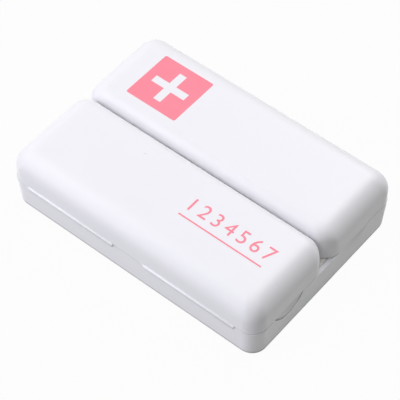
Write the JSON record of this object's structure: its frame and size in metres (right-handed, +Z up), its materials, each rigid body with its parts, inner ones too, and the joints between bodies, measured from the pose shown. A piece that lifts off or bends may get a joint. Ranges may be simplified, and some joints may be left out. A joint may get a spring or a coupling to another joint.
{
  "type": "folding weekly pill box",
  "caption": "Flat white folding pill box: a base with two hinged half-width wings, inner trays and snap lids, shown closed.",
  "frame": {"origin": "on the table under the middle of the base", "axes": "X along the long side and both hinges, Y from the front wing to the rear wing, Z up"},
  "size_m": [0.105, 0.0766, 0.025],
  "materials": {
    "white_shell": "satin moulded polypropylene, white",
    "tray_plastic": "natural polypropylene, warm white, smooth",
    "lid_plastic": "frosted translucent polypropylene",
    "magnet_plating": "bright nickel plating"
  },
  "bodies": {
    "base": {"base_shell": "white_shell", "base_tray": "tray_plastic", "base_magnets": "magnet_plating", "front_hinge_web_left": "white_shell", "front_hinge_web_right": "white_shell", "rear_hinge_web_left": "white_shell", "rear_hinge_web_right": "white_shell"},
    "front_wing": {"front_wing_shell": "white_shell", "front_wing_tray": "tray_plastic", "front_wing_magnets": "magnet_plating"},
    "rear_wing": {"rear_wing_shell": "white_shell", "rear_wing_tray": "tray_plastic", "rear_wing_magnets": "magnet_plating"},
    "base_lid_front_left": {"base_lid_front_left": "lid_plastic"},
    "base_lid_front_right": {"base_lid_front_right": "lid_plastic"},
    "base_lid_rear": {"base_lid_rear": "lid_plastic"},
    "front_wing_lid_left": {"front_wing_lid_left": "lid_plastic"},
    "front_wing_lid_right": {"front_wing_lid_right": "lid_plastic"},
    "rear_wing_lid_left": {"rear_wing_lid_left": "lid_plastic"},
    "rear_wing_lid_right": {"rear_wing_lid_right": "lid_plastic"}
  },
  "joints": [
    {"name": "front_wing_hinge", "type": "hinge", "parent": "base", "child": "front_wing", "pos_m": [0, -0.0385, 0.0125], "axis": [1, 0, 0], "range_deg": [0, 180], "deforming": ["front_hinge_web_left", "front_hinge_web_right"]},
    {"name": "rear_wing_hinge", "type": "hinge", "parent": "base", "child": "rear_wing", "pos_m": [0, 0.0385, 0.0125], "axis": [-1, 0, 0], "range_deg": [0, 180], "deforming": ["rear_hinge_web_left", "rear_hinge_web_right"]},
    {"name": "base_lid_front_left_hinge", "type": "hinge", "parent": "base", "child": "base_lid_front_left", "pos_m": [0, -0.0341, 0.0114], "axis": [1, 0, 0], "range_deg": [0, 85]},
    {"name": "base_lid_front_right_hinge", "type": "hinge", "parent": "base", "child": "base_lid_front_right", "pos_m": [0, -0.0341, 0.0114], "axis": [1, 0, 0], "range_deg": [0, 85]},
    {"name": "base_lid_rear_hinge", "type": "hinge", "parent": "base", "child": "base_lid_rear", "pos_m": [0, 0.0341, 0.0114], "axis": [-1, 0, 0], "range_deg": [0, 85]},
    {"name": "front_wing_lid_left_hinge", "type": "hinge", "parent": "front_wing", "child": "front_wing_lid_left", "pos_m": [0, -0.0341, 0.0136], "axis": [-1, 0, 0], "range_deg": [0, 90]},
    {"name": "front_wing_lid_right_hinge", "type": "hinge", "parent": "front_wing", "child": "front_wing_lid_right", "pos_m": [0, -0.0341, 0.0136], "axis": [-1, 0, 0], "range_deg": [0, 90]},
    {"name": "rear_wing_lid_left_hinge", "type": "hinge", "parent": "rear_wing", "child": "rear_wing_lid_left", "pos_m": [0, 0.0341, 0.0136], "axis": [1, 0, 0], "range_deg": [0, 90]},
    {"name": "rear_wing_lid_right_hinge", "type": "hinge", "parent": "rear_wing", "child": "rear_wing_lid_right", "pos_m": [0, 0.0341, 0.0136], "axis": [1, 0, 0], "range_deg": [0, 90]}
  ],
  "couplings": [
    {"joint": "base_lid_front_left_hinge", "follows": "front_wing_hinge", "ratio": 0.4722},
    {"joint": "base_lid_front_right_hinge", "follows": "front_wing_hinge", "ratio": 0.4722},
    {"joint": "base_lid_rear_hinge", "follows": "rear_wing_hinge", "ratio": 0.4722},
    {"joint": "front_wing_lid_left_hinge", "follows": "front_wing_hinge", "ratio": 0.5},
    {"joint": "front_wing_lid_right_hinge", "follows": "front_wing_hinge", "ratio": 0.5},
    {"joint": "rear_wing_lid_left_hinge", "follows": "rear_wing_hinge", "ratio": 0.5},
    {"joint": "rear_wing_lid_right_hinge", "follows": "rear_wing_hinge", "ratio": 0.5}
  ]
}
